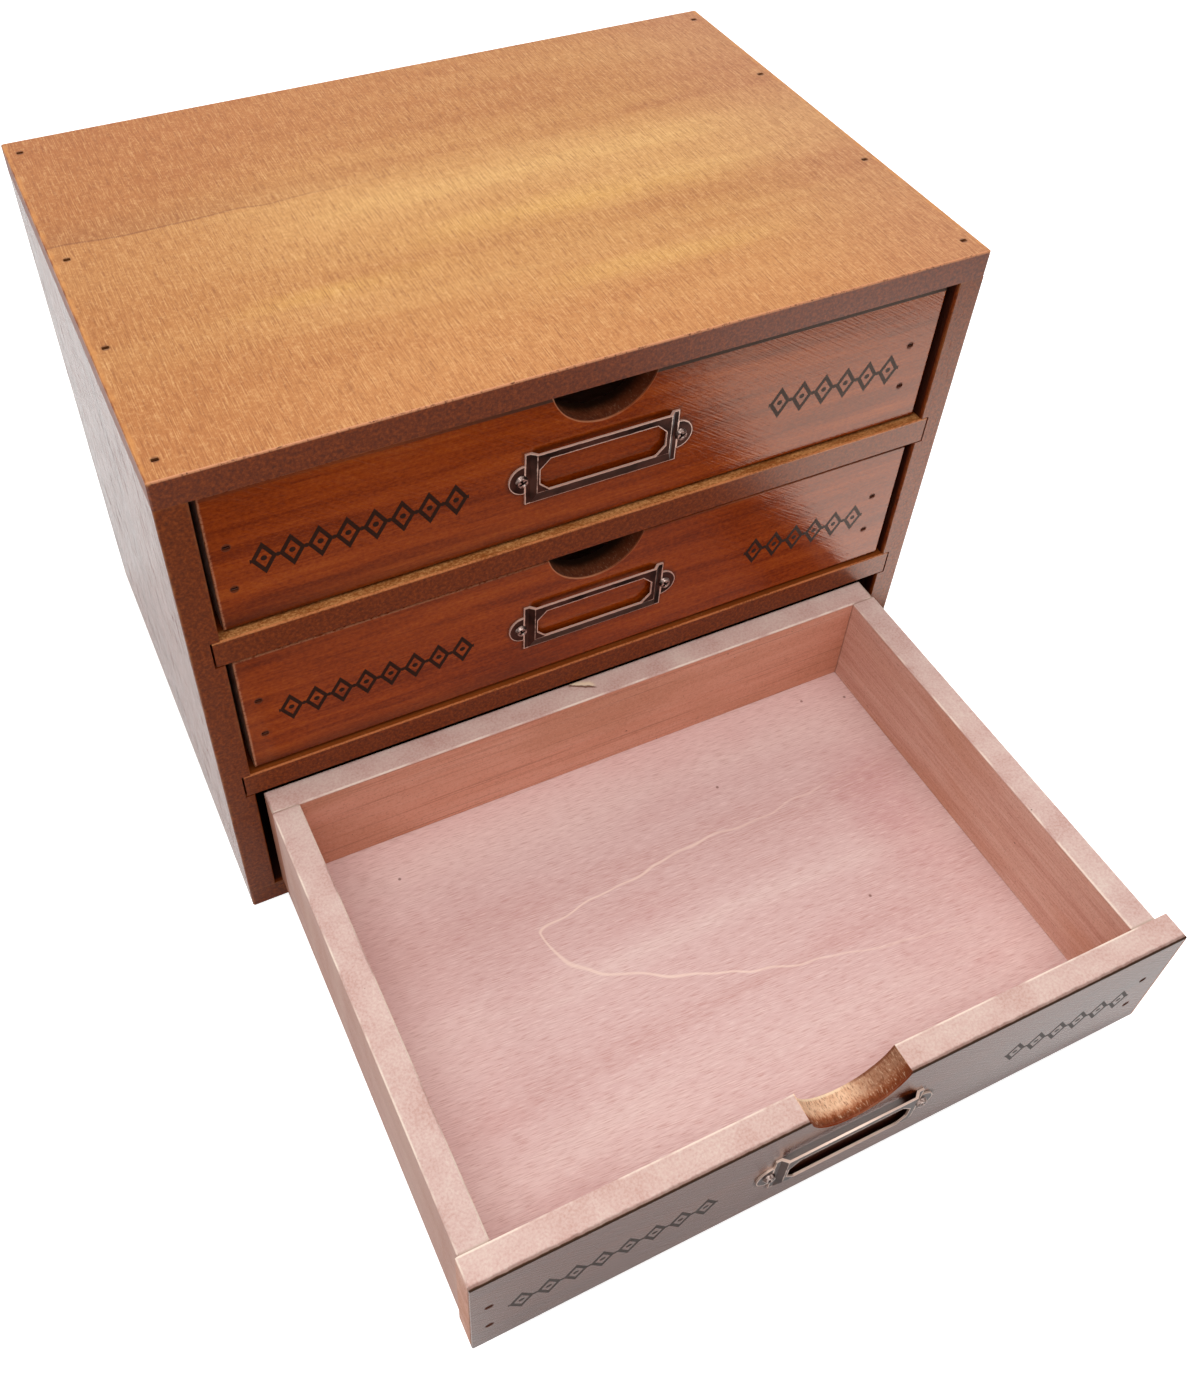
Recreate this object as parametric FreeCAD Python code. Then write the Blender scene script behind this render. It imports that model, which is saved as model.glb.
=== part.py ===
"""A small three-drawer haberdashery chest in stained wood.

Five boards make the case: top and bottom laid across two sides, and a thin back panel held in a groove.
Two full-depth dividers sit in dados in the sides and carry the upper drawers.
The lowest drawer runs on the bottom board.
Each drawer is a nailed box with a thumb notch and a stamped label frame on its front.

Millimetres. X runs along the front, +Y goes to the back, +Z is up.
The origin is the centre of the case's footprint on the surface it stands on.
"""

import FreeCAD
import Part
import os

from FreeCAD import Placement, Rotation, Vector

# ---------------------------------------------------------------- case
case_width = 255.0
case_depth = 178.0
side_thickness = 9.0
top_thickness = 9.0
bottom_thickness = 9.0
divider_thickness = 10.0
bay_height = 52.0
bay_count = 3
case_edge_round = 0.5
inner_edge_bevel = 0.35

dado_depth = 3.0
dado_end_gap = 0.6
dado_clearance = 0.1

back_panel_thickness = 4.0
back_panel_rear_margin = 5.0
back_groove_depth = 3.0
back_groove_clearance = 0.2

# ---------------------------------------------------------------- drawers
drawer_recess = 2.5
drawer_back_clearance = 1.5
drawer_side_gap = 2.0
drawer_slide_clearance = 0.3
drawer_headroom = 1.7
drawer_mouth_hold = 1.0
middle_drawer_pull = 1.0

front_thickness = 9.0
front_overhang_left = 0.7
front_overhang_right = 4.5
front_bottom_lift = 0.7
front_edge_round = 0.5
box_side_thickness = 9.0
box_back_thickness = 9.0
box_back_shortfall = 0.8
box_edge_bevel = 0.5

floor_thickness = 3.0
floor_groove_height = 9.0
floor_groove_depth = 4.0
floor_groove_clearance = 0.15

notch_radius = 17.0
notch_centre_above_edge = 4.0

# ---------------------------------------------------------------- label frame and its screws
label_centre_height = 22.7
label_plate_length = 49.8
label_plate_height = 18.6
label_ear_radius = 5.1
label_sheet = 0.6
label_raise = 1.5
label_flange = 1.6
label_joggle = 1.6
label_lower_bevel = 4.5
label_press_round = 0.3
label_window_length = 41.0
label_window_height = 11.6
label_window_chamfer = 3.2
label_window_shift = -0.3
label_top_rail = 2.4

screw_outside_plate = 1.1
screw_hole_clearance = 0.25
screw_head_radius = 2.0
screw_head_top_radius = 1.55
screw_head_height = 1.1
screw_shank_radius = 1.0
screw_depth_in_wood = 7.0
screw_tip_length = 2.0
cross_length = 2.5
cross_width = 0.7
cross_depth = 0.8
cross_turn = 30.0

# ---------------------------------------------------------------- brads
brad_length = 25.0
brad_head_width = 2.0
brad_head_height = 0.8
brad_shank_width = 1.25
brad_wire_thickness = 1.2
brad_tip_length = 1.2
brad_sink = 0.7

board_brad_count = 4
board_brad_margin = 8.0
left_row_wander = (0.0, -4.0, -12.0, 0.0)
right_row_wander = (0.0, -2.0, 8.0, 1.0)
divider_brad_margin = 19.0
drawer_brad_heights = (14.5, 30.0)

cut_overrun = 1.0

# ---------------------------------------------------------------- places that follow from the sizes above
left_x, right_x = -case_width / 2, case_width / 2
front_y, rear_y = -case_depth / 2, case_depth / 2
inner_left_x, inner_right_x = left_x + side_thickness, right_x - side_thickness
sides_bottom_z = bottom_thickness
sides_top_z = bottom_thickness + bay_count * bay_height + (bay_count - 1) * divider_thickness
case_height = sides_top_z + top_thickness

back_panel_rear_y = rear_y - back_panel_rear_margin
back_panel_front_y = back_panel_rear_y - back_panel_thickness

box_height = bay_height - drawer_slide_clearance - drawer_headroom
front_width = inner_right_x - inner_left_x - 2 * drawer_side_gap
box_left_x = front_overhang_left - front_width / 2
box_right_x = front_width / 2 - front_overhang_right
drawer_length = back_panel_front_y - drawer_back_clearance - (front_y + drawer_recess)
drawer_travel = drawer_recess + drawer_length - drawer_mouth_hold

screw_spacing = label_plate_length + 2 * screw_outside_plate


def bay_floor_z(bay):
    """Height of the surface a drawer slides on, counting bays from the bottom."""
    return bottom_thickness + bay * (bay_height + divider_thickness)


def block(x, y, z):
    """A box from its (low, high) pair along each axis."""
    corner = Vector(x[0], y[0], z[0])
    return Part.makeBox(x[1] - x[0], y[1] - y[0], z[1] - z[0], corner)


def eased_block(x, y, z, size, bevelled=(), rounded=()):
    """A box with some long edges bevelled and then some rounded, all by the same size.

    An edge is named by the two faces that meet there, such as '-y+z', and all edges of one face by that face.
    """
    solid = block(x, y, z)
    limits = {"x": x, "y": y, "z": z}

    def lies_on(edge, face):
        low, high = limits[face[1]]
        place = low if face[0] == "-" else high
        return all(abs(getattr(v.Point, face[1]) - place) < 1e-6 for v in edge.Vertexes)

    def is_named(edge, name):
        return all(lies_on(edge, name[k:k + 2]) for k in range(0, len(name), 2))

    def named_edges(names):
        return [e for e in solid.Edges if any(is_named(e, n) for n in names)]

    if bevelled:
        solid = solid.makeChamfer(size, named_edges(bevelled))
    if rounded:
        solid = solid.makeFillet(size, named_edges(rounded))
    return solid


def even_places(low, high, count):
    """Places for a row of fasteners, the first and last at the ends given."""
    return [low + (high - low) * i / (count - 1) for i in range(count)]


# ---------------------------------------------------------------- brads

def brad_outline(reach):
    """The T outline of a gun brad in its own XZ plane, driven along -Z. reach lifts the head's top face."""
    head, shank = brad_head_width / 2, brad_shank_width / 2
    points = [
        (-head, reach), (head, reach), (head, -brad_head_height), (shank, -brad_head_height),
        (shank, brad_tip_length - brad_length), (0, -brad_length), (-shank, brad_tip_length - brad_length),
        (-shank, -brad_head_height), (-head, -brad_head_height),
    ]
    corners = [Vector(px, -brad_wire_thickness / 2, pz) for px, pz in points]
    outline = Part.Face(Part.makePolygon(corners + corners[:1]))
    return outline.extrude(Vector(0, brad_wire_thickness, 0))


def driven(shape, surface_point, inward):
    """Places a shape drawn along -Z so that it is driven inward from a point on a board's surface."""
    turn = Rotation(Vector(0, 0, -1), inward)
    placed = shape.copy()
    placed.Placement = Placement(surface_point + inward * brad_sink, turn)
    return placed


def brads(places):
    """The brads and the holes they leave, for a list of (surface point, inward direction)."""
    nails = [driven(brad_outline(0.0), p, d) for p, d in places]
    holes = [driven(brad_outline(brad_sink + cut_overrun), p, d) for p, d in places]
    return Part.makeCompound(nails), holes


def board_brad_places(surface_z, inward):
    """Rows of brads through the top or bottom board into the two sides, spaced unevenly by eye."""
    along = even_places(front_y + board_brad_margin, rear_y - board_brad_margin, board_brad_count)
    rows = ((left_x + side_thickness / 2, left_row_wander), (right_x - side_thickness / 2, right_row_wander))
    return [(Vector(x, y + off, surface_z), inward) for x, wander in rows for y, off in zip(along, wander)]


def divider_brad_places():
    """Brads through the sides into the ends of each divider."""
    depths = (front_y + divider_brad_margin, rear_y - divider_brad_margin)
    places = []
    for bay in range(1, bay_count):
        height = bay_floor_z(bay) - divider_thickness / 2
        for y in depths:
            places.append((Vector(left_x, y, height), Vector(1, 0, 0)))
            places.append((Vector(right_x, y, height), Vector(-1, 0, 0)))
    return places


# ---------------------------------------------------------------- case

def back_groove():
    """The space the back panel's groove takes in the boards round it."""
    reach = back_groove_depth + back_groove_clearance
    return block(
        (inner_left_x - reach, inner_right_x + reach),
        (back_panel_front_y - back_groove_clearance, back_panel_rear_y + back_groove_clearance),
        (sides_bottom_z - reach, sides_top_z + reach),
    )


def dados():
    """The slots in the sides that take the divider ends, open at the front."""
    slots = []
    for bay in range(1, bay_count):
        top = bay_floor_z(bay)
        slots.append(block(
            (inner_left_x - dado_depth, inner_right_x + dado_depth),
            (front_y - cut_overrun, back_panel_front_y),
            (top - divider_thickness - dado_clearance, top + dado_clearance),
        ))
    return slots


def side_board(x, outer):
    """A side, with its outer long edges rounded. outer is '-x' or '+x'."""
    inner = "+x" if outer == "-x" else "-x"
    board = eased_block(x, (front_y, rear_y), (sides_bottom_z, sides_top_z), case_edge_round,
                        rounded=["-y" + outer, "+y" + outer])
    board = board.cut(sanded_arris(x, inner))
    return board.cut([back_groove()] + dados())


def sanded_arris(x, inner):
    """The sliver taken off a side's inner front edge by sanding."""
    edge_x = x[1] if inner == "+x" else x[0]
    inward = -inner_edge_bevel if inner == "+x" else inner_edge_bevel
    corners = [
        Vector(edge_x, front_y, sides_bottom_z),
        Vector(edge_x + inward, front_y, sides_bottom_z),
        Vector(edge_x, front_y + inner_edge_bevel, sides_bottom_z),
    ]
    sliver = Part.Face(Part.makePolygon(corners + corners[:1]))
    return sliver.extrude(Vector(0, 0, sides_top_z - sides_bottom_z))


def cover_board(z, outer):
    """The top or bottom board, laid across the ends of the sides. outer is '+z' or '-z'."""
    board = eased_block((left_x, right_x), (front_y, rear_y), z, case_edge_round,
                        bevelled=["-x-y", "-x+y", "+x-y", "+x+y"], rounded=[outer])
    return board.cut(back_groove())


def divider(bay):
    """The shelf under a bay, housed in the dados at both ends."""
    reach = dado_depth - dado_end_gap
    top = bay_floor_z(bay)
    return eased_block(
        (inner_left_x - reach, inner_right_x + reach),
        (front_y, back_panel_front_y),
        (top - divider_thickness, top),
        inner_edge_bevel, bevelled=["-y-z", "-y+z"],
    )


def back_panel():
    """The thin panel that closes the back, its edges inside the grooves."""
    return block(
        (inner_left_x - back_groove_depth, inner_right_x + back_groove_depth),
        (back_panel_front_y, back_panel_rear_y),
        (sides_bottom_z - back_groove_depth, sides_top_z + back_groove_depth),
    )


def case_parts():
    """Every piece of the case, by name."""
    top_brads, top_holes = brads(board_brad_places(case_height, Vector(0, 0, -1)))
    bottom_brads, bottom_holes = brads(board_brad_places(0.0, Vector(0, 0, 1)))
    divider_brads, divider_holes = brads(divider_brad_places())
    side_holes = top_holes + bottom_holes + divider_holes
    return {
        "top_board": cover_board((sides_top_z, case_height), "+z").cut(top_holes),
        "bottom_board": cover_board((0.0, bottom_thickness), "-z").cut(bottom_holes),
        "left_side": side_board((left_x, inner_left_x), "-x").cut(side_holes),
        "right_side": side_board((inner_right_x, right_x), "+x").cut(side_holes),
        "back_panel": back_panel(),
        "upper_divider": divider(2).cut(divider_holes),
        "lower_divider": divider(1).cut(divider_holes),
        "top_board_brads": top_brads,
        "bottom_board_brads": bottom_brads,
        "divider_brads": divider_brads,
    }


# ---------------------------------------------------------------- label frame, drawn flat
# X runs along the frame, Y up it and +Z out of the wood.

def profile(points, plane):
    """A face with an outline of (across, height) points in the XZ or YZ plane. Repeated points are dropped."""
    distinct = [p for i, p in enumerate(points) if p != points[i - 1]]
    corners = [Vector(a, 0, h) if plane == "XZ" else Vector(0, a, h) for a, h in distinct]
    return Part.Face(Part.makePolygon(corners + corners[:1]))


def pressed_middle(inset, slope_foot, face, upper_end):
    """The raised middle: joggled up from both flanges, and bevelled down to the wood along its lower edge.

    inset moves the slopes inward, slope_foot and face are the heights where they start and end.
    """
    foot = label_plate_length / 2 - label_flange - inset
    crest = foot - label_joggle
    low = inset - label_plate_height / 2
    bend = low + label_lower_bevel
    across = [(-foot, 0), (foot, 0), (foot, slope_foot), (crest, face), (-crest, face), (-foot, slope_foot)]
    upright = [(low, 0), (upper_end, 0), (upper_end, face), (bend, face), (low, slope_foot)]
    ridge = centred_prism(profile(across, "XZ"), Vector(0, 4 * label_plate_height, 0))
    wedge = centred_prism(profile(upright, "YZ"), Vector(2 * label_plate_length, 0, 0))
    return ridge.common(wedge)


def centred_prism(face, span):
    """The face carried half of span to each side of its own plane."""
    solid = face.extrude(span)
    solid.translate(span * -0.5)
    return solid


def window():
    """The opening over the card, an oblong with its corners cut off."""
    a, b, c = label_window_length / 2, label_window_height / 2, label_window_chamfer
    quarter = [(a - c, b), (a, b - c)]
    right = [(px, -py) for px, py in quarter] + [(px, py) for px, py in reversed(quarter)]
    points = right + [(-px, -py) for px, py in right]
    centre_y = label_plate_height / 2 - label_top_rail - b
    corners = [Vector(px + label_window_shift, py + centre_y, 0) for px, py in points]
    outline = Part.Face(Part.makePolygon(corners + corners[:1]))
    return centred_prism(outline, Vector(0, 0, 4 * (label_raise + label_sheet)))


def is_bend(edge, face_height):
    """True for the edges of the raised face where the sheet is bent, and not for its free top edge."""
    ends = [v.Point for v in edge.Vertexes]
    on_face = all(p.z > face_height - 1e-6 for p in ends)
    return on_face and not all(p.y > label_plate_height / 2 - 1e-6 for p in ends)


def label_frame():
    """The stamped frame: eared flanges flat on the wood and a raised middle with a window, open at its top."""
    half_plate, half_height = label_plate_length / 2, label_plate_height / 2
    face_height = label_raise + label_sheet
    plate = block((-half_plate, half_plate), (-half_height, half_height), (0.0, label_sheet))
    ears = [Part.makeCylinder(label_ear_radius, label_sheet, Vector(s * half_plate, 0, 0)) for s in (-1, 1)]
    raised = pressed_middle(0.0, label_sheet, face_height, half_height)
    raised = raised.makeFillet(label_press_round, [e for e in raised.Edges if is_bend(e, face_height)])
    hollow = pressed_middle(label_sheet, 0.0, label_raise, label_plate_height)
    outer = plate.fuse(ears + [raised]).removeSplitter()
    hole_radius, hole_x = screw_shank_radius + screw_hole_clearance, screw_spacing / 2
    holes = [Part.makeCylinder(hole_radius, face_height, Vector(s * hole_x, 0, 0)) for s in (-1, 1)]
    return outer.cut([hollow, window()] + holes)


def turned(points):
    """A solid of revolution about Z from the (radius, height) points of its outline."""
    corners = [Vector(radius, 0, height) for radius, height in points]
    outline = Part.Face(Part.makePolygon(corners + corners[:1]))
    return outline.revolve(Vector(0, 0, 0), Vector(0, 0, 1), 360)


def screw_shank(head_z):
    """The pointed shank of a screw, from its tip up to the height head_z."""
    return turned([
        (0, -screw_depth_in_wood),
        (screw_shank_radius, screw_tip_length - screw_depth_in_wood),
        (screw_shank_radius, head_z),
        (0, head_z),
    ])


def screw():
    """A small pan-head screw with a cross recess, its head seated on the frame's ear."""
    seat = label_sheet
    crown_z = seat + screw_head_height
    head = turned([
        (0, seat),
        (screw_head_radius, seat),
        (screw_head_top_radius, crown_z),
        (0, crown_z),
    ])
    return head.fuse(screw_shank(seat)).cut(cross_recess(crown_z))


def cross_recess(crown_z):
    """Two crossed slots that narrow towards the bottom."""
    half, low = cross_length / 2, cross_length / 4
    above, floor = crown_z + cut_overrun, crown_z - cross_depth
    points = [(-half, above), (half, above), (half, crown_z), (low, floor), (-low, floor), (-half, crown_z)]
    corners = [Vector(px, -cross_width / 2, pz) for px, pz in points]
    slot = Part.Face(Part.makePolygon(corners + corners[:1])).extrude(Vector(0, cross_width, 0))
    slot.rotate(Vector(0, 0, 0), Vector(0, 0, 1), cross_turn)
    crossing = slot.copy()
    crossing.rotate(Vector(0, 0, 0), Vector(0, 0, 1), 90)
    return slot.fuse(crossing)


def on_front(shape, front_face_y, centre_z):
    """Stands a flat-drawn shape up against a drawer's front face."""
    placed = shape.copy()
    upright = Placement(Vector(0, front_face_y, centre_z), Rotation(Vector(1, 0, 0), 90))
    placed.Placement = upright * shape.Placement
    return placed


def pair_at_ears(shape):
    """A shape drawn on the axis, repeated at both ears of the frame."""
    pair = []
    for side in (-1, 1):
        one = shape.copy()
        one.translate(Vector(side * screw_spacing / 2, 0, 0))
        pair.append(one)
    return Part.makeCompound(pair)


# ---------------------------------------------------------------- drawers

def drawer_brad_places(front_face_y, box_bottom_z):
    """Brads through the front and the back into the ends of the box sides."""
    rear_face_y = front_face_y + drawer_length
    places = []
    for x in (box_left_x + box_side_thickness / 2, box_right_x - box_side_thickness / 2):
        for height in drawer_brad_heights:
            z = box_bottom_z + front_bottom_lift + height
            places.append((Vector(x, front_face_y, z), Vector(0, 1, 0)))
            places.append((Vector(x, rear_face_y, z), Vector(0, -1, 0)))
    return places


def drawer_parts(name, bay, pull):
    """Every piece of one drawer, by name, pulled out by pull from its shut place."""
    front_face_y = front_y + drawer_recess - pull
    sides_front_y = front_face_y + front_thickness
    rear_face_y = front_face_y + drawer_length
    sides_rear_y = rear_face_y - box_back_thickness
    box_bottom_z = bay_floor_z(bay) + drawer_slide_clearance
    box_top_z = box_bottom_z + box_height
    front_bottom_z = box_bottom_z + front_bottom_lift
    inside_left_x, inside_right_x = box_left_x + box_side_thickness, box_right_x - box_side_thickness
    floor_bottom_z = box_bottom_z + floor_groove_height

    nails, holes = brads(drawer_brad_places(front_face_y, box_bottom_z))
    reach = floor_groove_depth + floor_groove_clearance
    floor_groove = block(
        (inside_left_x - reach, inside_right_x + reach),
        (sides_front_y - reach, sides_rear_y + reach),
        (floor_bottom_z - floor_groove_clearance, floor_bottom_z + floor_thickness + floor_groove_clearance),
    )
    label_z = front_bottom_z + label_centre_height
    screw_holes = on_front(pair_at_ears(screw_shank(label_sheet)), front_face_y, label_z)

    front = eased_block(
        (-front_width / 2, front_width / 2), (front_face_y, sides_front_y), (front_bottom_z, box_top_z),
        front_edge_round, bevelled=["-x+z", "+x+z"], rounded=["-y"],
    )
    notch = Part.makeCylinder(
        notch_radius, 2 * front_thickness,
        Vector(0, front_face_y - front_thickness / 2, box_top_z + notch_centre_above_edge), Vector(0, 1, 0),
    )
    front = front.cut([notch, floor_groove, screw_holes] + holes)

    def box_side(x):
        side = eased_block(x, (sides_front_y, sides_rear_y), (box_bottom_z, box_top_z), box_edge_bevel,
                           bevelled=["-x+z", "+x+z"])
        return side.cut([floor_groove] + holes)

    back = eased_block(
        (box_left_x, box_right_x - box_back_shortfall), (sides_rear_y, rear_face_y), (box_bottom_z, box_top_z),
        box_edge_bevel, bevelled=["+y+z", "-y+z", "-x+y", "+x+y"],
    )
    floor = block(
        (inside_left_x - floor_groove_depth, inside_right_x + floor_groove_depth),
        (sides_front_y - floor_groove_depth, sides_rear_y + floor_groove_depth),
        (floor_bottom_z, floor_bottom_z + floor_thickness),
    )
    return {
        name + "_drawer_front": front,
        name + "_drawer_left_side": box_side((box_left_x, inside_left_x)),
        name + "_drawer_right_side": box_side((inside_right_x, box_right_x)),
        name + "_drawer_back": back.cut([floor_groove] + holes),
        name + "_drawer_floor": floor,
        name + "_drawer_brads": nails,
        name + "_label_frame": on_front(label_frame(), front_face_y, label_z),
        name + "_label_screws": on_front(pair_at_ears(screw()), front_face_y, label_z),
    }


def main():
    os.makedirs("parts", exist_ok=True)
    pieces = case_parts()
    pieces.update(drawer_parts("top", 2, 0.0))
    pieces.update(drawer_parts("middle", 1, middle_drawer_pull))
    pieces.update(drawer_parts("bottom", 0, drawer_travel))
    for name, shape in pieces.items():
        for solid in shape.Solids:
            if not solid.isValid():
                raise RuntimeError(name + " holds a solid that isn't valid")
        shape.exportStep(os.path.join("parts", name + ".step"))
        print(f"{name:28s} {len(shape.Solids):3d} solids {shape.Volume / 1000:9.2f} cm3")
    print(f"case {case_width} x {case_depth} x {case_height}, travel {drawer_travel}")


main()
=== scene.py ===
"""A small three-drawer haberdashery chest: a varnished case, bare wooden drawer boxes and bronzed fittings.

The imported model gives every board, brad and fitting. This script gives them their finishes, and sets the
floor, the lamps and the camera. The frame is in metres. Finishes are worked out in millimetres, at the places
of the rest pose: x from left to right, y from front to back, and z upwards.
"""

import math

import bpy
import numpy as np
from mathutils import Matrix, Vector


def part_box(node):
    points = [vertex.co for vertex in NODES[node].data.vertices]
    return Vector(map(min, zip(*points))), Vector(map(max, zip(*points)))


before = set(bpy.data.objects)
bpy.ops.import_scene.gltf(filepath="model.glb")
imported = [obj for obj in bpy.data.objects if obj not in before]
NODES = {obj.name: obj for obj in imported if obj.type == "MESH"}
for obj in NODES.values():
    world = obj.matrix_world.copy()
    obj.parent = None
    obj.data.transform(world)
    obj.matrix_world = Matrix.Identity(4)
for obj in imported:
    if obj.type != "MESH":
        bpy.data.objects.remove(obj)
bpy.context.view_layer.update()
MM = 0.001
DRAWERS = ("top", "middle", "bottom")
X, Y, Z = 0, 1, 2


# ---------------------------------------------------------------- sums in the shaders

MIX_UNDER, MIX_OVER, MIX_COLOUR = 6, 7, 2  # a Mix node's two colour sockets, and its colour output


class Signal:
    """An output of a shader node, which can be added, multiplied and so on like a number."""

    def __init__(self, recipe, socket):
        self.recipe = recipe
        self.socket = socket

    def sum(self, operation, *others):
        """One Math node on this signal and the others."""
        return self.recipe.node("Math", dict(enumerate((self, *others))), operation=operation)

    def __add__(self, other):
        return self.sum("ADD", other)

    def __sub__(self, other):
        return self.sum("SUBTRACT", other)

    def __rsub__(self, other):
        return self.recipe.node("Math", {0: other, 1: self}, operation="SUBTRACT")

    def __mul__(self, other):
        return self.sum("MULTIPLY", other)

    def __truediv__(self, other):
        return self.sum("DIVIDE", other)

    def __abs__(self):
        return self.sum("ABSOLUTE")

    __radd__ = __add__
    __rmul__ = __mul__

    def least(self, other):
        return self.sum("MINIMUM", other)

    def most(self, other):
        return self.sum("MAXIMUM", other)

    def power(self, exponent):
        return self.sum("POWER", exponent)

    def past_multiple(self, period):
        """How far the value lies past the last multiple of period."""
        return self.sum("FLOORED_MODULO", period)

    def rise(self, low, high):
        """0 below low and 1 above high, eased between. With low above high it falls from 1 to 0 instead."""
        return self.recipe.node(
            "MapRange", {"Value": self, "From Min": low, "From Max": high}, interpolation_type="SMOOTHSTEP")


class Recipe:
    """The shader nodes of a material or of the world, which end in one output node."""

    def __init__(self, owner, ending="OutputMaterial"):
        owner.use_nodes = True
        self.tree = owner.node_tree
        self.tree.nodes.clear()
        self.ending = self.tree.nodes.new("ShaderNode" + ending)

    def feed(self, socket, value):
        """Links a signal to a socket, or sets the socket to a plain value."""
        if isinstance(value, Signal):
            self.tree.links.new(value.socket, socket)
        else:
            socket.default_value = value

    def node(self, kind, sockets, out=0, stops=None, **settings):
        """Any node: its settings first, then the values or links of its sockets. Gives one of its outputs."""
        made = self.tree.nodes.new("ShaderNode" + kind)
        for key, value in settings.items():
            setattr(made, key, value)
        if stops:
            steps = made.color_ramp.elements
            while len(steps) < len(stops):
                steps.new(1.0)
            for step, (position, colour) in zip(steps, stops):
                step.position = position
                step.color = (*colour, 1.0)
        for key, value in sockets.items():
            self.feed(made.inputs[key], value)
        return Signal(self, made.outputs[out])

    def end(self, shader):
        """Makes a shader the one that is seen."""
        self.feed(self.ending.inputs[0], shader)

    def place(self):
        """The x, y and z of a point of the piece, in millimetres."""
        where = self.node("TexCoord", {}, out="Object")
        parts = [self.node("SeparateXYZ", {0: where}, out=axis) for axis in (X, Y, Z)]
        return [part / MM for part in parts]

    def noise(self, x, y, z, detail=2.0, roughness=0.5):
        """Smooth noise about 0.5, whose lumps are about one unit across."""
        where = self.node("CombineXYZ", {X: x, Y: y, Z: z})
        sockets = {"Vector": where, "Scale": 1.0, "Detail": detail, "Roughness": roughness}
        return self.node("TexNoise", sockets)

    def ramp(self, value, *stops):
        """A colour that follows value through (position, colour) stops."""
        return self.node("ValToRGB", {0: value}, stops=stops)

    def coats(self, base, *layers):
        """A base colour under (colour, amount) layers, which are laid on in turn."""
        for top, amount in layers:
            under, over = (colour if isinstance(colour, Signal) else (*colour, 1.0) for colour in (base, top))
            base = self.node(
                "Mix", {0: amount, MIX_UNDER: under, MIX_OVER: over}, out=MIX_COLOUR, data_type="RGBA")
        return base

    def bump(self, height, depth):
        """A surface that swings by depth, in millimetres, as height goes from 0 to 1."""
        return self.node("Bump", {"Height": height, "Distance": depth * MM})

    def by_ray(self, camera, mirror, rest):
        """A level that follows the ray: one for the camera, one for gloss and glass, one for other light."""
        level = rest
        for ray, seen in (("Camera", camera), ("Glossy", mirror), ("Transmission", mirror)):
            level = self.node("LightPath", {}, out=f"Is {ray} Ray") * (seen - rest) + level
        return level


class Finish(Recipe):
    """One material: a Principled shader, and what its sockets are worked out from."""

    def __init__(self, name, fixed):
        self.material = bpy.data.materials.new(name)
        super().__init__(self.material)
        self.shader = self.tree.nodes.new("ShaderNodeBsdfPrincipled")
        self.end(Signal(self, self.shader.outputs[0]))
        self.set(fixed)

    def set(self, sockets):
        """Gives sockets of the shader a value or a link."""
        for label, value in sockets.items():
            self.feed(self.shader.inputs[label], value)
        return self.material

    def overlay(self, sockets, amount):
        """Another shader laid over the first by amount."""
        over = self.node("BsdfPrincipled", sockets)
        self.end(self.node("MixShader", {0: amount, 1: Signal(self, self.shader.outputs[0]), 2: over}))


def srgb(red, green, blue):
    """A colour in steps from 0 to 255, as linear light."""
    shares = (step / 255 for step in (red, green, blue))
    return tuple(s / 12.92 if s <= 0.04045 else ((s + 0.055) / 1.055) ** 2.4 for s in shares)


# ---------------------------------------------------------------- reading the frame

def corners(node):
    """A node's mesh points in millimetres, one row each."""
    mesh = NODES[node].data
    flat = np.empty(3 * len(mesh.vertices))
    mesh.vertices.foreach_get("co", flat)
    return flat.reshape(-1, 3) / MM


def extent(node):
    """A node's lowest and highest corner in millimetres."""
    return [[value / MM for value in corner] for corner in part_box(node)]


def heads(node, axes, gap=5.0):
    """The places, on two axes, of the brads in a node.

    Its points are parted, on one axis and then the other, where two lie further apart than gap.
    """
    groups = [corners(node)[:, axes]]
    for column in (0, 1):
        parted = []
        for group in groups:
            group = group[np.argsort(group[:, column])]
            parted += np.split(group, np.flatnonzero(np.diff(group[:, column]) > gap) + 1)
        groups = parted
    return [tuple((group.min(axis=0) + group.max(axis=0)) / 2) for group in groups]


def dress(node, material):
    """Gives a node one material in place of its own."""
    slots = NODES[node].data.materials
    slots.clear()
    slots.append(material)


# ---------------------------------------------------------------- what the finishes share

def reach(u, v, centre=(0.0, 0.0)):
    """Distance of a point on two axes from a centre."""
    du, dv = u - centre[0], v - centre[1]
    return (du * du + dv * dv).power(0.5)


def nearest(u, v, centres):
    """Distance from the nearest of some centres."""
    distance = reach(u, v, centres[0])
    for centre in centres[1:]:
        distance = distance.least(reach(u, v, centre))
    return distance


def from_arris(place, low, high):
    """Distance from the nearest sharp edge of a box-shaped board, for a point on its skin.

    The point's depth under the nearer face is taken on each axis. The middle one of the three is given.
    """
    a, b, c = [(axis - start).least(end - axis) for axis, start, end in zip(place, low, high)]
    return a.least(b).most(a.most(b).least(c))


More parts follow.
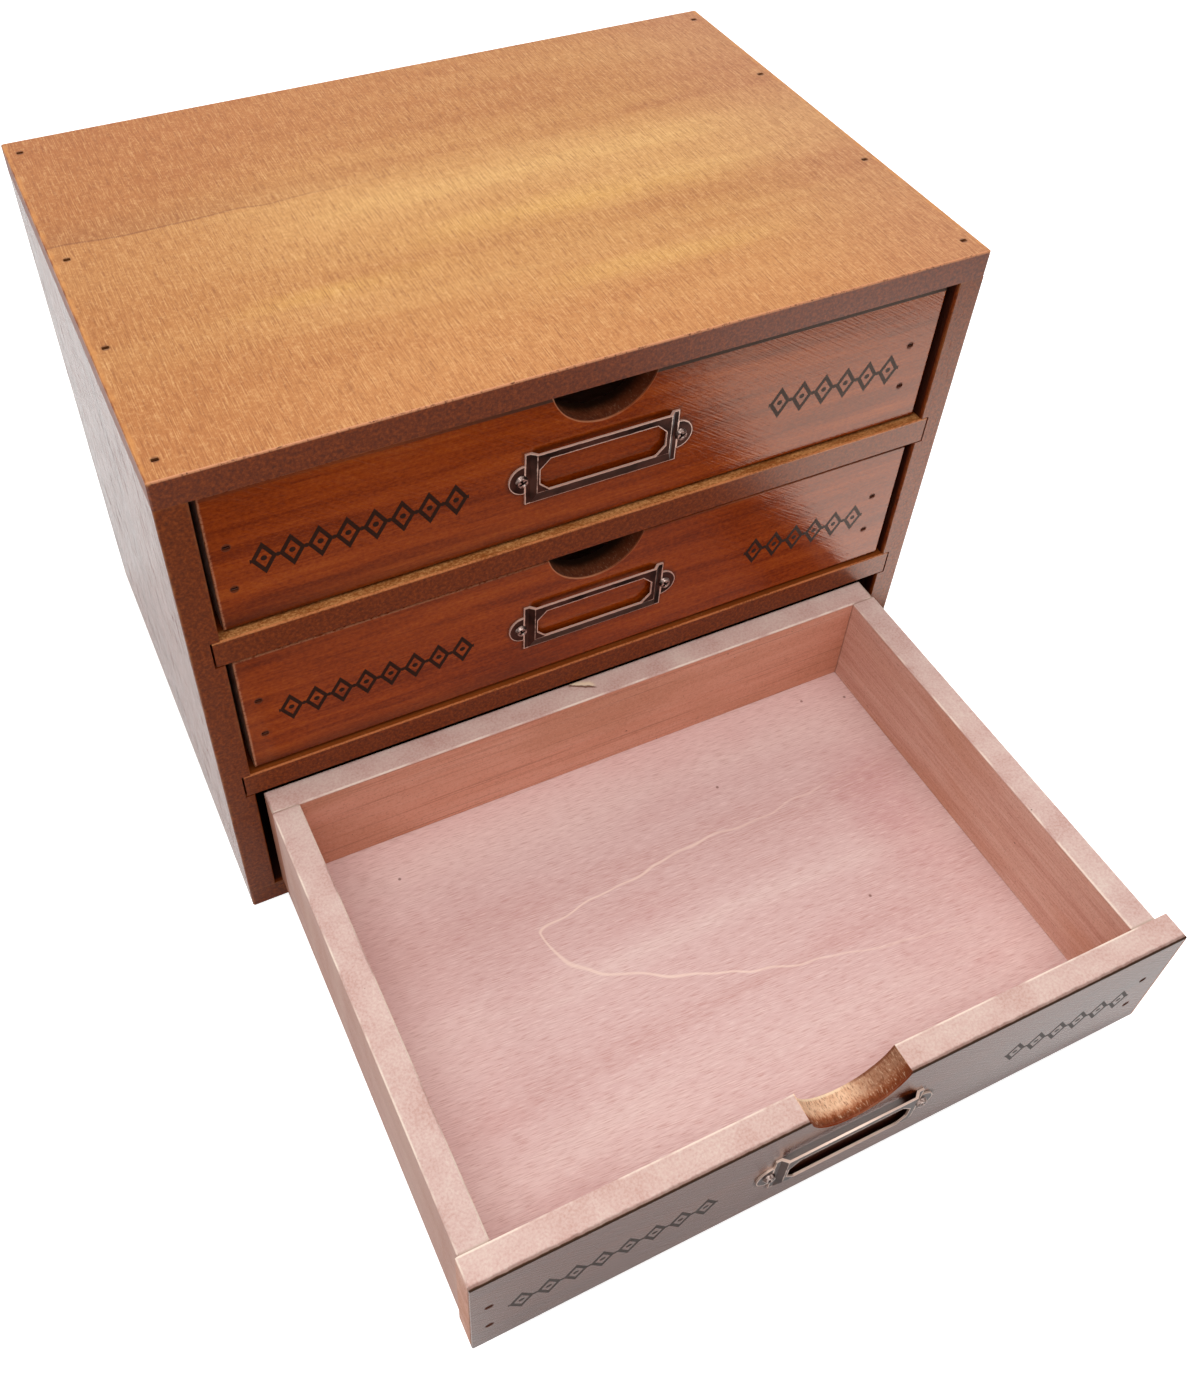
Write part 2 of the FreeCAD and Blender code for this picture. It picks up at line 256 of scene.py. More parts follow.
def grain(f, place, run, seed, band=12.0, wander=14.0):
    """Bands, fibres and pores of wood whose grain runs along one axis: three signals from 0 to 1.

    The bands are band millimetres wide, and bend to either side by up to half of wander.
    """
    along = place[run]
    wide, deep = (place[axis] for axis in (X, Y, Z) if axis != run)
    drift = (f.noise(along / 150, wide / 60, deep / 60 + seed) - 0.5) * wander
    across, through = (wide + drift) / band, (deep + drift) / band + seed
    bands = f.noise(along / 420, across, through, detail=5.0, roughness=0.55)
    fibres = f.noise(along / 16, wide / 0.6, deep / 0.6 + seed, detail=3.0, roughness=0.6)
    pores = f.noise(along / 4, wide / 0.35, deep / 0.35 + seed, detail=1.0).rise(0.66, 0.74)
    return bands, fibres, pores


# ---------------------------------------------------------------- the stained and varnished case

VARNISH = {"IOR": 1.5, "Specular IOR Level": 0.4, "Specular Tint": (1.0, 0.58, 0.34, 1.0)}
STAIN = ((0.34, srgb(78, 26, 4)), (0.50, srgb(110, 43, 8)), (0.66, srgb(138, 62, 18)))
WORN_GOLD = srgb(196, 132, 70)
BRAD_SHADOW = srgb(62, 22, 8)
# painted shade for the inner faces of the case's bays
INNER_SHADE = srgb(46, 13, 7)
INNER_HALF_WIDTH = extent("right_side")[0][X]
INNER_FOOT = extent("bottom_board")[1][Z]
INNER_BACK = extent("back_panel")[0][Y]
FINE_GRAIN = 0.03  # depth of the case's relief, where its grain isn't open

LID_VARNISH = VARNISH | {"Specular Tint": (1.0, 0.85, 0.7, 1.0)}
LID_STAIN = (
    (0.34, srgb(166, 106, 54)), (0.46, srgb(182, 127, 70)),
    (0.56, srgb(192, 141, 82)), (0.68, srgb(204, 157, 94)))
LID_FRONT, LID_BACK = srgb(182, 118, 68), srgb(156, 82, 34)
LID_LEFT, LID_RIGHT = srgb(156, 90, 40), srgb(168, 108, 76)
LID_FLARE, LID_STREAK, LID_BEHIND_STREAK = srgb(206, 158, 82), srgb(108, 50, 22), srgb(134, 72, 34)
LID_FURROW, LID_RIDGE, LID_PORE = srgb(116, 58, 26), srgb(240, 194, 134), srgb(104, 48, 20)
# the last colour is a painted highlight for the lid's front arris
LID_SPECK, LID_GLINT, LID_ARRIS_HIGHLIGHT = srgb(124, 70, 36), srgb(232, 186, 130), srgb(206, 140, 100)
FLARES = (((-58.0, -30.0), 48.0, 7.0), ((25.0, -14.0), 80.0, 12.0), ((34.0, -52.0), 60.0, 8.0))

LEDGE_BROWN, LEDGE_GOLD, LEDGE_ARRIS = srgb(150, 88, 40), srgb(222, 160, 100), srgb(196, 116, 70)


def cut_edge(f, place, seed):
    """The stain on a sawn edge, which takes it in dark and light specks: a colour and the specks."""
    x, y, z = place
    specks = f.noise(x / 1.1, y / 1.1, z / 1.1 + seed, detail=3.0, roughness=0.7)
    return f.ramp(specks, *STAIN), specks


def stained(f, bands, fibres, pores):
    """The case's stain on a planed board: light and dark with the grain, and darkest in its pores."""
    return f.coats(f.ramp(bands * 0.65 + fibres * 0.35, *STAIN), (BRAD_SHADOW, pores * 0.5))


def top_wood():
    """The lid's honey stain: soft golden flares, a dark streak, cross scratches, red-brown edges, and a
    painted highlight along the front arris.

    A flare is an ellipse, given by its centre, half its length and half its width. The streak wanders as it
    runs along x, and the wood behind it is darker.
    """
    f = Finish("top_varnish", LID_VARNISH)
    low, high = extent("top_board")
    x, y, z = place = f.place()
    bands, fibres, pores = grain(f, place, X, seed=3.0, band=34.0, wander=22.0)
    streaks = f.noise(x / 60, y / 2.2, 2.0, detail=4.0, roughness=0.6)
    uneven = f.noise(x / 40, y / 9, 0.0)
    flares = []
    for centre, half_length, half_width in FLARES:
        flare = reach((x - centre[0]) / half_length, (y - centre[1]) / half_width)
        flares.append((LID_FLARE, (flare + uneven * 0.9).rise(1.4, 0.3) * 0.45))
    off_streak = y - 22.0 - (f.noise(x / 38, 0.0, 5.0) - 0.5) * 9.0
    faded = x.rise(10, -110) * 0.6 + 0.05
    scratches = f.noise(x / 0.34, y / 7, z / 5, detail=2.0, roughness=0.6)
    edge_stain, specks = cut_edge(f, place, 3.0)
    past_rim = abs(x).rise(high[X] - 0.55, high[X] - 0.2).most(abs(y).rise(high[Y] - 0.55, high[Y] - 0.2))
    # painted highlight along the lid's front arris
    front_arris_highlight = y.rise(low[Y] + 0.7, low[Y] + 0.4) * z.rise(high[Z] - 0.7, high[Z] - 0.4)
    patches = f.noise(x / 5, y / 5, z / 5, detail=3.0)
    at_ends = abs(x).rise(high[X] - 3.5, high[X] - 0.8) * z.rise(high[Z] - 3.0, high[Z] - 0.5)
    dents = nearest(x, y, heads("top_board_brads", [X, Y]))
    colour = f.coats(
        f.ramp(bands * 0.86 + streaks * 0.14, *LID_STAIN),
        (LID_FRONT, y.rise(-25, -89) * 0.75),
        (LID_BACK, y.rise(15, 95) * (x.rise(140, -110) * 0.3 + 0.42)),
        (LID_RIGHT, x.rise(60, 128) * 0.55),
        (LID_LEFT, x.rise(-35, -128) * 0.55),
        *flares,
        (LID_STREAK, abs(off_streak).rise(0.8, 0.0) * faded),
        (LID_BEHIND_STREAK, off_streak.rise(-0.5, 1.5) * off_streak.rise(18, 2) * faded * 0.6),
        (LID_FURROW, scratches.rise(0.48, 0.74) * 0.52),
        (LID_RIDGE, scratches.rise(0.48, 0.28) * 0.26),
        (LID_PORE, pores * 0.1),
        (LID_SPECK, specks.rise(0.50, 0.72) * 0.26),
        (LID_GLINT, specks.rise(0.50, 0.30) * 0.22),
        (edge_stain, past_rim),
        (LID_ARRIS_HIGHLIGHT, front_arris_highlight * specks.rise(0.3, 0.5) * 0.8),
        (WORN_GOLD, (at_ends * 1.6 + patches * 2 - 1.9).rise(0.2, 1.0) * 0.65),
        (BRAD_SHADOW, (dents + uneven).rise(2.1, 1.3) * 0.6))
    height = scratches * 0.5 + fibres * 0.2 + specks * 0.3
    return f.set({"Base Color": colour, "Roughness": 0.36 + scratches * 0.16, "Normal": f.bump(height, 0.05)})


def case_wood(node, run, seed, matt=0.12, gold=0.4, open_grain=None):
    """The case's deep red-brown stain, worn to bare gold along the arrises, with painted shade and a dull
    skin inside the bays.

    matt is the skin's least roughness, and gold how far its arrises are worn. open_grain is the depth, in
    millimetres, of a coarse grain with dark checks, on the boards that have it.
    """
    f = Finish(node + "_varnish", VARNISH)
    low, high = extent(node)
    x, y, z = place = f.place()
    bands, fibres, pores = grain(f, place, run, seed)
    patches = f.noise(x / 6, y / 6, z / 6, detail=4.0, roughness=0.6)
    worn = (from_arris(place, low, high) + (patches - 0.5) * 3.0).rise(0.9, 0.0) * gold
    edge_stain, specks = cut_edge(f, place, seed)
    front_edge = y.rise(low[Y] + 1.2, low[Y] + 0.6)
    between_sides = abs(x).rise(INNER_HALF_WIDTH + 0.4, INNER_HALF_WIDTH + 0.1)
    before_back = y.rise(low[Y] + 0.6, low[Y] + 2.0) * y.rise(INNER_BACK + 0.4, INNER_BACK + 0.1)
    # painted shade: the inner faces of the bays are darkened
    inside = between_sides * before_back * z.rise(INNER_FOOT - 0.4, INNER_FOOT - 0.1)
    colour = f.coats(
        stained(f, bands, fibres, pores),
        (WORN_GOLD, worn),
        (edge_stain, front_edge * (1.0 - worn)),
        (INNER_SHADE, inside))
    dull = front_edge * 0.25 + pores * 0.3 + fibres * 0.06 + inside * 0.5
    relief = fibres * 0.6 + specks * 0.4
    if open_grain:
        wide = f.noise(place[run] / 34, y / 1.9, x / 1.9 + seed, detail=3.0, roughness=0.65)
        checks = f.noise(place[run] / 20, y / 0.9, seed + 5.0, detail=2.0).rise(0.62, 0.70)
        relief = relief * 0.08 + (wide * 0.92 - checks * 0.8) * (1.0 - front_edge)
        colour = f.coats(colour, (BRAD_SHADOW, checks * (1.0 - front_edge) * 0.8))
        dull = dull + checks * 0.7
    depth = open_grain or FINE_GRAIN
    return f.set({"Base Color": colour, "Roughness": matt + dull, "Normal": f.bump(relief, depth)})


def divider_wood(node, seed, gold):
    """The case's stain, with the narrow ledge in front of the drawer rubbed through to gold."""
    f = Finish(node + "_varnish", VARNISH)
    low, high = extent(node)
    x, y, z = place = f.place()
    bands, fibres, pores = grain(f, place, X, seed)
    edge_stain, specks = cut_edge(f, place, seed)
    fine_patches = f.noise(x / 0.9, y / 0.6, z / 0.6, detail=3.0, roughness=0.7)
    patches = f.noise(x / 24, y / 4, 0.0) * 0.4 + fine_patches * 0.6
    ledge = z.rise(high[Z] - 0.9, high[Z] - 0.3) * y.rise(low[Y] + 4.5, low[Y] + 2.5)
    arris = z.rise(high[Z] - 0.7, high[Z] - 0.4) * y.rise(low[Y] + 0.6, low[Y] + 0.3)
    colour = f.coats(
        stained(f, bands, fibres, pores),
        (edge_stain, y.rise(low[Y] + 0.9, low[Y] + 0.3)),
        (LEDGE_BROWN, ledge * gold),
        (LEDGE_GOLD, ledge * (patches * 2.6 + gold - 1.7).rise(0.0, 0.8) * 0.9),
        (LEDGE_ARRIS, arris * patches.rise(0.35, 0.55) * 0.75))
    relief = f.bump(fibres * 0.4 + specks * 0.6, 0.05)
    return f.set({"Base Color": colour, "Roughness": 0.26 + fibres * 0.14, "Normal": relief})


# ---------------------------------------------------------------- the drawer boxes

RAW_SKIN = {"IOR": 1.45, "Specular IOR Level": 0.12}
RAW = ((0.32, srgb(186, 132, 114)), (0.48, srgb(208, 160, 142)), (0.64, srgb(222, 182, 166)))
# painted light: the paler colours of a top edge and of the outer face of a side
RAW_LIT = ((0.34, srgb(188, 150, 141)), (0.50, srgb(205, 176, 168)), (0.66, srgb(217, 197, 186)))
RAW_PEACH, RAW_BROWN = srgb(236, 158, 126), srgb(196, 136, 106)
RAW_LINE, RAW_PORE = srgb(150, 92, 72), srgb(136, 82, 62)
# the last colour is a painted highlight for the upper arrises
RAW_FLECK, RAW_GLINT, RAW_ARRIS_HIGHLIGHT = srgb(146, 92, 74), srgb(234, 196, 178), srgb(246, 228, 210)
RAW_SPECK, RAW_SEAM = srgb(84, 46, 34), srgb(120, 74, 58)
SPLIT_DARK, SPLIT_PALE = srgb(104, 62, 40), srgb(236, 208, 178)
SPLITS = {"top": -78.0, "middle": -41.0, "bottom": -4.0}  # x of the split in the back's top edge

PLY = ((0.32, srgb(202, 163, 157)), (0.48, srgb(212, 178, 173)), (0.66, srgb(221, 193, 186)))
# the last colour is painted light, for the parts of the floor that the drawer's walls shade
PLY_CLOUD, PLY_MAUVE, PLY_PAINTED_LIGHT = srgb(196, 142, 138), srgb(192, 138, 136), srgb(240, 206, 200)
PLY_TICK, PLY_GLINT = srgb(176, 122, 112), srgb(242, 220, 212)
PLY_RING, PLY_PIT = srgb(238, 212, 196), srgb(104, 62, 48)
LEAF_TIP = {"top": (-80.0, -88.0), "middle": (-20.0, -40.0), "bottom": (-48.4, -56.0)}
LEAF_BEHIND, LEAF_BEFORE, LEAF_POWER = 1.45, 6.25, 2.22
PITS = (
    (84.0, -7.0), (100.0, -12.0), (35.0, -28.0), (59.0, -88.0),
    (35.0, -140.0), (-81.0, -16.0), (-38.0, -143.0))


def raw_wood(f, place, run, seed, low, high, peach=0.0):
    """Bare, pinkish boxwood: fine lines and brown clouds, with painted light on the top edge and outside the
    box's sides, and a painted highlight on the upper arrises.

    peach, from 0 to 1, warms the wood and strengthens its lines. Gives a colour, and the bands and fibres of
    its grain.
    """
    x, y, z = place
    along = place[run]
    bands, fibres, pores = grain(f, place, run, seed, band=7.0, wander=8.0)
    browner = f.noise(along / 75, z / 30, seed + 2.0, detail=2.0).rise(0.42, 0.62)
    lines = f.noise(along / 70, z / 0.55 + x * 0.01, y / 0.55 + seed, detail=2.0).rise(0.56, 0.74)
    flecks = f.noise(x / 0.7, y / 0.7, z / 0.7 + seed, detail=3.0, roughness=0.6)
    clouds = f.noise(x / 14, y / 14, seed, detail=2.0)
    # painted light: the top edge, and the outer face of a side, are made paler as if lit
    lit_skin = z.rise(high[Z] - 1.0, high[Z] - 0.3) * 0.85
    if run == Y:
        outer = max(abs(low[X]), abs(high[X]))
        lit_skin = lit_skin.most(abs(x).rise(outer - 0.6, outer - 0.2) * 0.6)
    # painted highlight along the upper arrises
    upper_arris_highlight = from_arris(place, low, high).rise(0.7, 0.25) * z.rise(high[Z] - 0.8, high[Z] - 0.4)
    colour = f.coats(
        f.ramp(bands * 0.6 + fibres * 0.4, *RAW),
        (RAW_PEACH, peach),
        (RAW_BROWN, browner * 0.5),
        (RAW_LINE, lines * (0.35 + peach * 0.4)),
        (RAW_PORE, pores * 0.35),
        (RAW_FLECK, flecks.rise(0.52, 0.74) * 0.3),
        (RAW_GLINT, flecks.rise(0.48, 0.28) * 0.2),
        (f.ramp(flecks * 0.55 + clouds * 0.45, *RAW_LIT), lit_skin),
        (RAW_ARRIS_HIGHLIGHT, upper_arris_highlight * clouds.rise(0.38, 0.56) * 0.7))
    return colour, bands, fibres


def box_wood(node, run, seed, split=None, peach=0.0):
    """A bare board of a drawer box, with a few dark specks, darker ends, and perhaps a short split.

    The split slants over the top edge, about the x that split gives, with a pale lip behind it.
    """
    f = Finish(node + "_wood", RAW_SKIN)
    low, high = extent(node)
    x, y, z = place = f.place()
    along = place[run]
    wood, bands, fibres = raw_wood(f, place, run, seed, low, high, peach)
    specks = f.noise(x / 1.3, y / 1.3, z / 1.3 + seed, detail=1.0).rise(0.80, 0.84)
    seam = along.rise(low[run] + 0.8, low[run] + 0.2).most(along.rise(high[run] - 0.8, high[run] - 0.2))
    colour = f.coats(wood, (RAW_SPECK, specks * 0.8), (RAW_SEAM, seam * 0.55))
    if split is not None:
        ragged = (f.noise(x / 2, y / 2, 1.0, detail=3.0) - 0.5) * 1.6
        off_split = (x - split) * 0.5 + (y - high[Y] + 3.0) + ragged
        on_edge = abs(x - split).rise(5.0, 3.2) * z.rise(high[Z] - 2.0, high[Z] - 1.0)
        colour = f.coats(
            colour,
            (SPLIT_PALE, (off_split - 1.0).rise(2.4, 0.2) * off_split.rise(0.2, 0.8) * on_edge),
            (SPLIT_DARK, abs(off_split).rise(0.75, 0.25) * on_edge * 0.85))
    relief = f.bump(fibres * 0.7 + bands * 0.3, 0.05)
    return f.set({"Base Color": colour, "Roughness": 0.72 + fibres * 0.16, "Normal": relief})


def floor_ply(node, drawer, seed):
    """Pink-faced ply, with one pale leaf-shaped growth ring, a mauve cloud, a few pits, and painted light at
    its left end and back.

    The leaf opens to the right of its tip. Its two edges stand behind and in front of the tip by LEAF_BEHIND
    and LEAF_BEFORE times the distance from the tip to the power of 1 / LEAF_POWER. A point's distance from an
    edge is its error in that sum, over the sum's slope. Tips and pits are placed from the inner face of the
    drawer's back.
    """
    f = Finish(node + "_wood", RAW_SKIN)
    inner_back = extent(drawer + "_drawer_back")[0][Y]
    x, y, _ = place = f.place()
    back = y - inner_back
    bands, fibres, _ = grain(f, place, X, seed, band=26.0, wander=24.0)
    ticks = f.noise(x / 5, (y + x * 0.06) / 0.32, seed, detail=3.0, roughness=0.6)
    clouds = f.noise(x / 46, y / 30, seed + 3.0, detail=3.0)
    mauve = reach((x - 84) / 20, (back + 60) / 36) + (clouds - 0.5)
    tip = LEAF_TIP[drawer]
    wobble = f.noise(x / 21, y / 21, seed, detail=1.0) - 0.5
    from_tip = x - tip[X] + wobble * 4.0
    off_tip = back - tip[Y] + wobble * 8.0
    across = (off_tip / LEAF_BEHIND).most(off_tip / -LEAF_BEFORE)
    spread = off_tip.rise(-0.01, 0.01) * (LEAF_BEHIND - LEAF_BEFORE) + LEAF_BEFORE
    slope = across.power(LEAF_POWER - 1.0) * LEAF_POWER / spread
    off_ring = abs(across.power(LEAF_POWER) - from_tip) / (slope + 1.0)
    bright = f.noise(x / 12, y / 12, seed + 6.0) * 0.6 + 0.4
    pits = nearest(x + bands, back, PITS)
    # painted light: the left end and the back of the floor are made paler, where the walls shade them
    colour = f.coats(
        f.ramp(bands * 0.7 + fibres * 0.3, *PLY),
        (PLY_CLOUD, clouds.rise(0.50, 0.76) * 0.3),
        (PLY_MAUVE, mauve.rise(1.1, 0.2) * 0.4),
        (PLY_PAINTED_LIGHT, x.rise(-62, -116).most(back.rise(-34, 0)) * 0.45),
        (PLY_TICK, ticks.rise(0.48, 0.70) * 0.52),
        (PLY_GLINT, ticks.rise(0.47, 0.28) * 0.42),
        (PLY_RING, off_ring.rise(0.55, 0.1) * bright * (x.rise(105, -10) * 0.75 + 0.1)),
        (PLY_PIT, pits.rise(0.7, 0.3) * 0.7))
    relief = f.bump(ticks * 0.5 + fibres * 0.5, 0.03)
    return f.set({"Base Color": colour, "Roughness": 0.66 + fibres * 0.16, "Normal": relief})


# ---------------------------------------------------------------- the drawer fronts

FRONT_STAIN = (
    (0.36, srgb(96, 30, 4)), (0.45, srgb(126, 45, 6)), (0.54, srgb(152, 62, 12)), (0.64, srgb(172, 80, 22)))
# the second colour is a duller stain with painted shade, for the open front's face
FRONT_SHADE, FRONT_DULL_AND_SHADE = srgb(56, 18, 6), srgb(66, 31, 20)
# the first colour is for worn arrises with a painted highlight, on the shut fronts
FRONT_ARRIS_HIGHLIGHT, FRONT_END, FRONT_RIM = srgb(206, 140, 104), srgb(206, 122, 62), srgb(74, 34, 18)
# the second colour is painted shade and reflection round the label frames
INK, FRAME_SHADE, DARK_LINE_AND_SHADOW = srgb(24, 9, 5), srgb(34, 12, 8), srgb(28, 10, 5)
# on the shut drawers the dark line under the top edge is painted shadow of the board above
TOP_LINES_AND_SHADOWS = {"top": (1.9, 1.0), "middle": (1.0, 0.3), "bottom": (0.9, 1.0)}  # width and strength of the line

MOTIF_ROWS = ((-106.0, -42.0), (57.0, 105.0))
MOTIF_ABOVE_FOOT, MOTIF_PITCH = 22.6, 8.0
LOZENGE_HALF_WIDTH, LOZENGE_HALF_HEIGHT = 3.0, 4.7

NOTCH_RADIUS, NOTCH_ABOVE = 17.0, 4.0
SCORCH = (
    (0.22, srgb(84, 36, 18)), (0.42, srgb(140, 76, 46)),
    (0.60, srgb(200, 146, 112)), (0.78, srgb(228, 186, 152)))
SCORCH_RIGHT, SCORCH_FIBRE, SCORCH_GRIT = srgb(108, 50, 24), srgb(240, 206, 172), srgb(86, 34, 14)
SCORCH_FRONT, SCORCH_BACK, SCORCH_BACK_PALE = srgb(104, 40, 18), srgb(96, 40, 20), srgb(244, 218, 182)
# painted shade for the notches of the shut drawers
SCORCH_SHUT_SHADE, SCORCH_DEEP_SHADE = srgb(84, 36, 20), srgb(14, 5, 2)
# the shut drawers' notch lip is bare wood with a painted highlight
LIP_SHUT_HIGHLIGHT, LIP_OPEN = srgb(202, 134, 96), srgb(108, 42, 18)

HALF_PLATE, HALF_PLATE_HEIGHT, EAR_RADIUS = 24.9, 9.3, 5.1
BRUSH_TURN = math.radians(35)


def ornament(x, z, middle_z):
    """Two printed rows of lozenges, with a dot in each and one between it and the next: 1 where there is ink.

    A lozenge's line lies where x over its half width and z over its half height come to 1.
    """
    v = abs(z - middle_z)
    ink = None
    for start, end in MOTIF_ROWS:
        u = abs((x - start).past_multiple(MOTIF_PITCH) - MOTIF_PITCH / 2)
        lozenge = abs(u / LOZENGE_HALF_WIDTH + v / LOZENGE_HALF_HEIGHT - 1.0).rise(0.29, 0.21)
        dots = reach(u, v).rise(1.0, 0.8).most(reach(u - MOTIF_PITCH / 2, v).rise(0.85, 0.65))
        row = lozenge.most(dots) * x.rise(start, start + 0.1) * x.rise(end, end - 0.1)
        ink = row if ink is None else ink.most(row)
    return ink


def plate_edges(drawer, x, z):
    """Distances from the outline of a label frame's plate and of its two round ears, below 0 inside them.

    They come with the height above the frame's middle.
    """
    low, high = extent(drawer + "_label_frame")
    v = z - (low[Z] + high[Z]) / 2
    plate = (abs(x) - HALF_PLATE).most(abs(v) - HALF_PLATE_HEIGHT)
    ears = reach(abs(x), v, (HALF_PLATE, 0.0)) - EAR_RADIUS
    return plate, ears, v


def front_stain(f, drawer, place, bands, fibres, motes, seed, shut):
    """The stain and print on a drawer front's face: a colour, the ink, and how much all but the ink dulls it.

    The open drawer's stain is duller and darker, with painted shade, and rubbed at its right end. The shut
    ones are rubbed along the left end and the left half of the top, where a highlight is painted too. Painted
    shade and reflection lie dark round the label frame, and behind it too on the open drawer.
    """
    x, _, z = place
    low, high = extent(drawer + "_drawer_front")
    figure = f.noise(x / 90, (z + bands * 8) / 7.0, seed, detail=5.0, roughness=0.6)
    shade = (z + figure * 10).rise(low[Z] + 16, low[Z] + 2) * x.rise(20, -70)
    unrubbed = f.noise(x / 1.5, 0.0, z / 0.8, detail=2.0).rise(0.25, 0.5)
    ink = ornament(x, z, low[Z] + MOTIF_ABOVE_FOOT) * (unrubbed * 0.15 + 0.82)
    # worn left arrises with a painted highlight, on the shut fronts
    left_arris_highlight = (x - low[X]).rise(1.0, 0.4).most((high[Z] - z).rise(0.9, 0.4) * x.rise(30, -60) * 0.8)
    right_end = (high[X] - x).rise(1.4, 0.6) * motes.rise(0.25, 0.45) * (1.0 - shut)
    pits = nearest(x, z, heads(drawer + "_drawer_brads", [X, Z])).rise(1.6, 1.1)
    plate, ears, _ = plate_edges(drawer, x, z)
    from_frame = plate.least(ears)
    # painted shade and reflection: dark round the label frame, and in its window on the open drawer
    frame_shade = (abs(from_frame) if shut else from_frame).rise(1.5, 0.2) * (0.8 - shut * 0.3)
    # painted shade: the open front's face is darkened as well as dulled
    stain = f.coats(
        f.ramp(figure * 0.52 + fibres * 0.18 + motes * 0.3, *FRONT_STAIN),
        (FRONT_SHADE, shade * 0.65),
        (FRONT_DULL_AND_SHADE, 0.66 * (1.0 - shut)),
        (INK, ink),
        (FRONT_ARRIS_HIGHLIGHT, left_arris_highlight * motes.rise(0.35, 0.55) * shut * 0.7),
        (FRONT_END, right_end * 0.8),
        (BRAD_SHADOW, pits * 0.8),
        (FRAME_SHADE, frame_shade))
    return stain, ink, pits * 0.5 + frame_shade * 0.3 + right_end * 0.4


def notch_scorch(f, place, low, high, ragged, seed, shut):
    """The sawn, scorched wood of a thumb notch, with dark pits and pale fibres, darker on its right.

    The open drawer's notch is dark along its front edge, and its back rim is dark on the right and pale on
    the left. On the shut ones shade is painted: they are darker all over, with fewer pale fibres, and near
    black towards the back.
    """
    x, y, z = place
    behind = y - low[Y]
    depth = (behind + ragged * 2).rise(0.5, 5.5)
    mottle = f.noise(x / 1.6, y / 2.6, z / 1.6, detail=4.0, roughness=0.7)
    grit = f.noise(x / 0.5, y / 1.5, z / 0.5 + seed, detail=3.0, roughness=0.7)
    back_rim = (high[Y] - y).rise(1.0, 0.4) * (1.0 - shut)
    return f.coats(
        f.ramp(depth * (1.0 - shut * 0.7) * 0.5 + mottle * 0.5, *SCORCH),
        (SCORCH_RIGHT, x.rise(0.0, 11.0) * 0.75),
        (SCORCH_FIBRE, grit.rise(0.54, 0.72) * (1.0 - shut * 0.5) * 0.45),
        (SCORCH_GRIT, grit.rise(0.50, 0.32) * 0.65),
        (SCORCH_FRONT, behind.rise(1.3, 0.5) * 0.8 * (1.0 - shut)),
        (SCORCH_BACK, back_rim * x.rise(2, 8) * 0.7),
        (SCORCH_BACK_PALE, back_rim * x.rise(6, -2) * 0.7),
        # painted shade in the shut drawers' notches
        (SCORCH_SHUT_SHADE, shut * 0.3),
        (SCORCH_DEEP_SHADE, (behind + ragged).rise(3.0, 7.5) * shut * 0.95))


def front_wood(drawer, seed, shut):
    """A drawer front: glossy stain and print on its face, bare wood behind and on top, a scorched notch.

    shut is 1 for a drawer that stands shut at rest and 0 for the open one, whose stain is duller, darkened by
    painted shade, and coarser. A dark line runs under the top edge; on the shut ones it is painted shadow of
    the board above, and fades to the left. Fine brush marks cross the face at BRUSH_TURN to its length.
    """
    node = drawer + "_drawer_front"
    f = Finish(node + "_finish", VARNISH)
    low, high = extent(node)
    x, y, z = place = f.place()
    behind = y - low[Y]
    bare, bands, fibres = raw_wood(f, place, X, seed, low, high)
    motes = f.noise(x / 1.4, y / 0.9, z / 0.9 + seed, detail=3.0, roughness=0.7)
    ragged = (f.noise(x / 2.5, y / 2.5, z / 2.5, detail=3.0) - 0.5) * 0.9
    stain, ink, dulled = front_stain(f, drawer, place, bands, fibres, motes, seed, shut)
    on_face = (behind + ragged * 0.5).rise(0.75, 0.35)
    rim = (behind + ragged).rise(1.6, 0.9) * (1.0 - on_face)
    width, strength = TOP_LINES_AND_SHADOWS[drawer]
    # painted shadow: on the shut drawers this dark line stands for the shadow of the board above
    top_line_and_shadow = on_face * z.rise(high[Z] - width, high[Z] - width + 0.4) * strength
    if shut:
        top_line_and_shadow = top_line_and_shadow * (x.rise(-90, 0) * 0.7 + 0.3)
    from_notch = reach(x, z, (0.0, high[Z] + NOTCH_ABOVE)) - NOTCH_RADIUS
    notch = abs(from_notch).rise(0.35, 0.12) * behind.rise(0.3, 0.6)
    # on the shut drawers the lip is bare wood with a painted highlight, brighter on the left
    lip = abs(from_notch + ragged * 0.3).rise(0.45, 0.1) * behind.rise(0.7, 0.2)
    colour = f.coats(
        bare,
        (stain, on_face),
        (FRONT_RIM, rim * 0.6),
        (DARK_LINE_AND_SHADOW, top_line_and_shadow),
        (notch_scorch(f, place, low, high, ragged, seed, shut), notch),
        (LIP_SHUT_HIGHLIGHT if shut else LIP_OPEN, lip * (1.0 - x.rise(-2.0, 9.0) * 0.7) * 0.8))
    face = on_face * (1.0 - notch)
    sine, cosine = math.sin(BRUSH_TURN), math.cos(BRUSH_TURN)
    brushed = f.noise((x * cosine - z * sine) / 12, (x * sine + z * cosine) / 0.6, seed, detail=3.0)
    coarse = 0.4 * (1.0 - shut)
    relief = f.bump(fibres * 0.15 + brushed * (0.85 - coarse) + motes * coarse, 0.075 * (2.0 - shut))
    matt_ink = {"Base Color": (*INK, 1.0), "Roughness": 0.6, "Specular IOR Level": 0.2, "Normal": relief}
    f.overlay(VARNISH | matt_ink, ink * face * 0.8)
    gloss = face * (0.66 - ink * 0.2 - top_line_and_shadow * 0.5 - dulled)
    return f.set({"Base Color": colour, "Roughness": 0.74 - gloss + fibres * 0.05, "Normal": relief})


# ---------------------------------------------------------------- fittings

